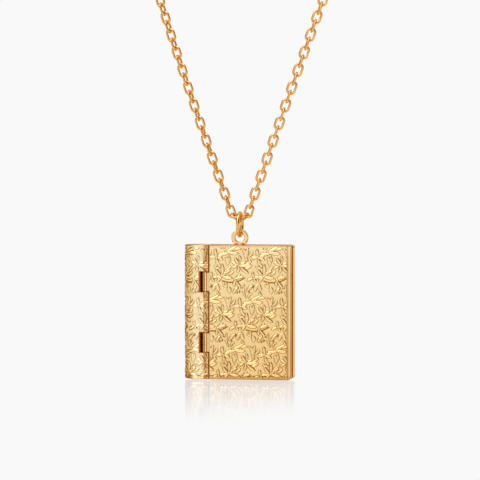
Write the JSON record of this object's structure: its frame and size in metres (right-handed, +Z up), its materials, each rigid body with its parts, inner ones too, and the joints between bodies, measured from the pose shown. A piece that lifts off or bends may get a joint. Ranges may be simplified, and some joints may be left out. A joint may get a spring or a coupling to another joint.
{
  "type": "book locket necklace",
  "caption": "Book-shaped locket with an engraved hinged cover, hanging by a jump ring from a closed cable chain.",
  "frame": {"origin": "the nape, at the middle of the clasp, where the necklace hangs on the back of the neck", "axes": "+Z up as worn, the locket hangs in front towards -Y, +X is to the right as seen from the front"},
  "size_m": [0.0794, 0.1049, 0.1801],
  "materials": {
    "locket_gold": "polished pale gold plate, engraved, darker in the cuts",
    "pin_gold": "satin gold plate",
    "ring_gold": "polished gold plate",
    "chain_gold": "polished gold plate",
    "clasp_gold": "polished gold plate"
  },
  "bodies": {
    "necklace": {"chain_left": "chain_gold", "chain_right": "chain_gold", "clasp": "clasp_gold", "clasp_ring": "clasp_gold"},
    "ring": {"jump_ring": "ring_gold"},
    "locket": {"case": "locket_gold", "hinge_pin": "pin_gold"},
    "cover": {"front_cover": "locket_gold"}
  },
  "joints": [
    {"name": "pendant_swing_front_back", "type": "hinge", "parent": "necklace", "child": "ring", "pos_m": [0, -0.1, -0.14594], "axis": [1, 0, 0], "range_deg": [-45, 45]},
    {"name": "pendant_swing_sideways", "type": "hinge", "parent": "ring", "child": "locket", "pos_m": [0, -0.1, -0.14823], "axis": [0, 1, 0], "range_deg": [-45, 45]},
    {"name": "cover_hinge", "type": "hinge", "parent": "locket", "child": "cover", "pos_m": [-0.00666, -0.10245, -0.1636], "axis": [0, 0, -1], "range_deg": [0, 105]}
  ]
}
